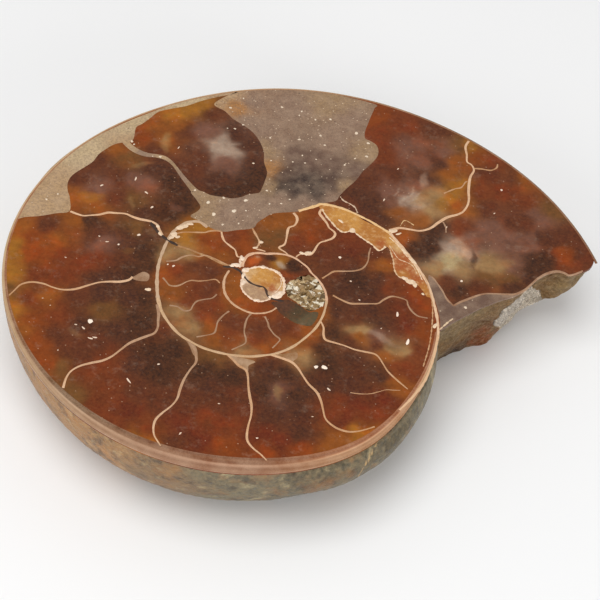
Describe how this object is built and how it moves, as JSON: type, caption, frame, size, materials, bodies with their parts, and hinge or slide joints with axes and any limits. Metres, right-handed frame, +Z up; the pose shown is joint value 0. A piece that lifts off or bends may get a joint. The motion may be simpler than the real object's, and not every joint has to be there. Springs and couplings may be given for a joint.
{
  "type": "ammonite fossil half",
  "caption": "Cut and polished half of a coiled ammonite fossil, lying on its rounded back with the chambered cut face up and its outer end broken.",
  "frame": {"origin": "middle of the outline, on the surface that the fossil lies on", "axes": "+Z up, square to the cut face; +X along the coil's longest width, towards the broken end"},
  "size_m": [0.0596, 0.0546, 0.0105],
  "materials": {
    "fossil_stone": "polished",
    "druse_crystal": "glittering crystal crust",
    "sugary_calcite": "rough sugary crystal"
  },
  "bodies": {
    "root": {"ammonite_half": "fossil_stone", "cavity_druse": "druse_crystal", "break_crystals": "sugary_calcite"}
  },
  "joints": []
}
